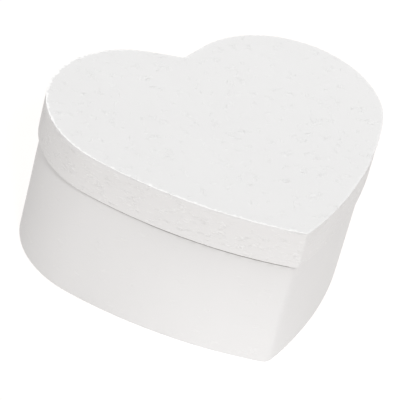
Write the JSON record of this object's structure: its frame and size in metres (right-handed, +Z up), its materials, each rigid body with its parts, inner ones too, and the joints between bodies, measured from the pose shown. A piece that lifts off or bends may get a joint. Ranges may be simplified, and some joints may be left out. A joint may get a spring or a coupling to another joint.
{
  "type": "wind-up music box",
  "caption": "Heart-shaped papier-mache box covered in white fibrous paper, with a lift-off lid and a key-wound pinned-cylinder music movement on its raised floor.",
  "frame": {"origin": "centre of the lid's outline projected on the table the box stands on", "axes": "+Z up; -Y towards the heart's tip, +Y towards its cleft; X across the two lobes"},
  "size_m": [0.15, 0.1282, 0.071],
  "materials": {
    "paper": "white handmade paper, matt, with embossed fibres",
    "board": "pale papier-mache board, matt",
    "zinc": "zinc alloy casting and pressings, satin",
    "steel": "bright steel",
    "brass": "polished brass",
    "bronze": "bearing bronze",
    "blued_steel": "blued spring steel",
    "nylon": "natural nylon"
  },
  "bodies": {
    "base": {"arbor_bush": "bronze", "base_floor": "board", "base_wall": "board", "base_wrap": "paper", "bedplate": "zinc", "comb": "steel", "comb_screw_1": "steel", "comb_screw_2": "steel", "cylinder_bush": "bronze", "end_cap": "zinc", "end_cap_screw": "steel", "floor_ledge": "board", "governor_frame": "zinc", "governor_screw_1": "steel", "governor_screw_2": "steel", "housing_screw_1": "steel", "housing_screw_2": "steel", "mainspring": "blued_steel", "mounting_screw_1": "steel", "mounting_screw_2": "steel", "mounting_screw_3": "steel", "spring_housing": "zinc", "stop_screw": "steel"},
    "lid": {"lid_rim": "board", "lid_rim_wrap": "paper", "lid_board": "board", "lid_top_sheet": "paper"},
    "cylinder": {"cylinder": "brass", "cylinder_cap_left": "nylon", "cylinder_cap_right": "nylon", "cylinder_arbor": "steel", "cylinder_pinion": "brass", "cylinder_gear": "brass"},
    "winder": {"winding_key": "steel", "winding_arbor": "steel", "great_wheel": "brass"},
    "intermediate": {"intermediate_pinion": "steel", "worm_wheel": "nylon"},
    "governor": {"worm_shaft": "steel", "fan": "brass"},
    "stop_lever": {"stop_lever": "steel"}
  },
  "joints": [
    {"name": "lid_lift", "type": "slide", "parent": "base", "child": "lid", "axis": [0, 0, 1], "range_m": [0, 0.09]},
    {"name": "cylinder_spin", "type": "hinge", "parent": "base", "child": "cylinder", "pos_m": [0.0117, 0.011, 0.02755], "axis": [1, 0, 0], "range_deg": [-3600, 0]},
    {"name": "key_turn", "type": "hinge", "parent": "base", "child": "winder", "pos_m": [-0.012, 0.011, 0.0215], "axis": [0, 0, 1], "range_deg": [-1200, 0]},
    {"name": "intermediate_spin", "type": "hinge", "parent": "base", "child": "intermediate", "pos_m": [0.0224, 0.01962, 0.02907], "axis": [1, 0, 0], "range_deg": [0, 18900]},
    {"name": "governor_spin", "type": "hinge", "parent": "base", "child": "governor", "pos_m": [0.0236, 0.02542, 0.032], "axis": [0, 0, 1], "range_deg": [-453600, 0]},
    {"name": "stop_lever_swing", "type": "hinge", "parent": "base", "child": "stop_lever", "pos_m": [0.0125, 0.0265, 0.0355], "axis": [0, 0, 1], "range_deg": [-20, 0]}
  ],
  "couplings": [
    {"joint": "key_turn", "follows": "cylinder_spin", "ratio": 0.33333},
    {"joint": "intermediate_spin", "follows": "cylinder_spin", "ratio": -5.25},
    {"joint": "governor_spin", "follows": "cylinder_spin", "ratio": 126}
  ]
}
